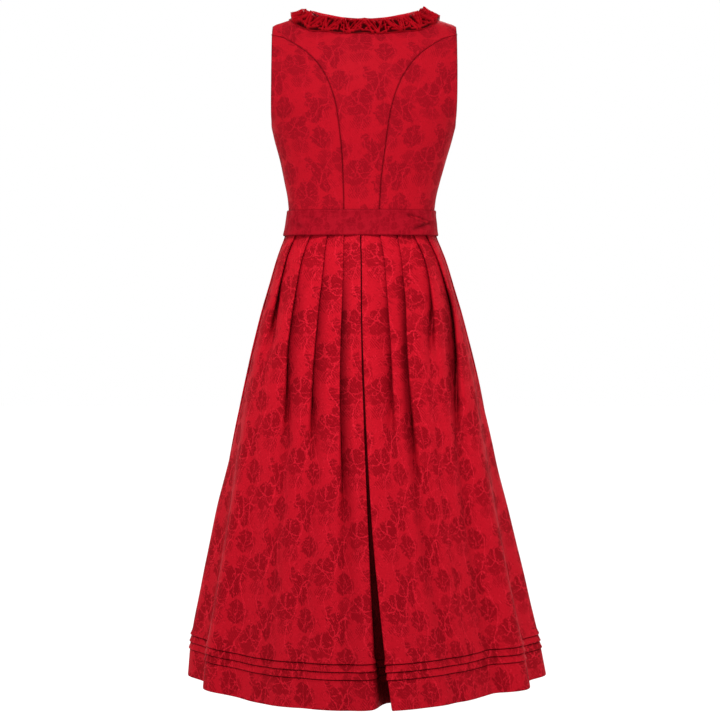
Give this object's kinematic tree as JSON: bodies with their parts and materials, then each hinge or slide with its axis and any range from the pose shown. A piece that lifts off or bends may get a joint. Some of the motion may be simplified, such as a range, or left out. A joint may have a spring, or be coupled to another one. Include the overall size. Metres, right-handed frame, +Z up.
{
  "type": "dirndl",
  "caption": "Sleeveless midi folk dress with princess-seamed bodice, ruched neck trim, waistband and knife-pleated skirt with hem tucks, standing as worn.",
  "frame": {"origin": "midway between the shoulder straps, where the wearer's shoulders hold the dress up, 21 mm below the neck end of the shoulder seams", "axes": "+Z up, -Y the wearer's front, +X the wearer's left"},
  "size_m": [0.639, 0.5773, 1.1775],
  "materials": {
    "damask": "red tone-on-tone flowered jacquard, satin ground with duller motifs",
    "band": "finer and darker red jacquard",
    "ruche": "dark red satin, pinched",
    "button": "cloth-covered"
  },
  "bodies": {
    "root": {"bodice_back": "damask", "bodice_side_back_left": "damask", "bodice_side_back_right": "damask", "bodice_side_front_left": "damask", "bodice_side_front_right": "damask", "bodice_front_left": "damask", "bodice_front_right": "damask", "neck_ruche": "ruche", "waistband": "band", "skirt_back": "damask", "skirt_front": "damask", "button_1": "button", "button_2": "button", "button_3": "button", "button_4": "button"}
  },
  "joints": []
}
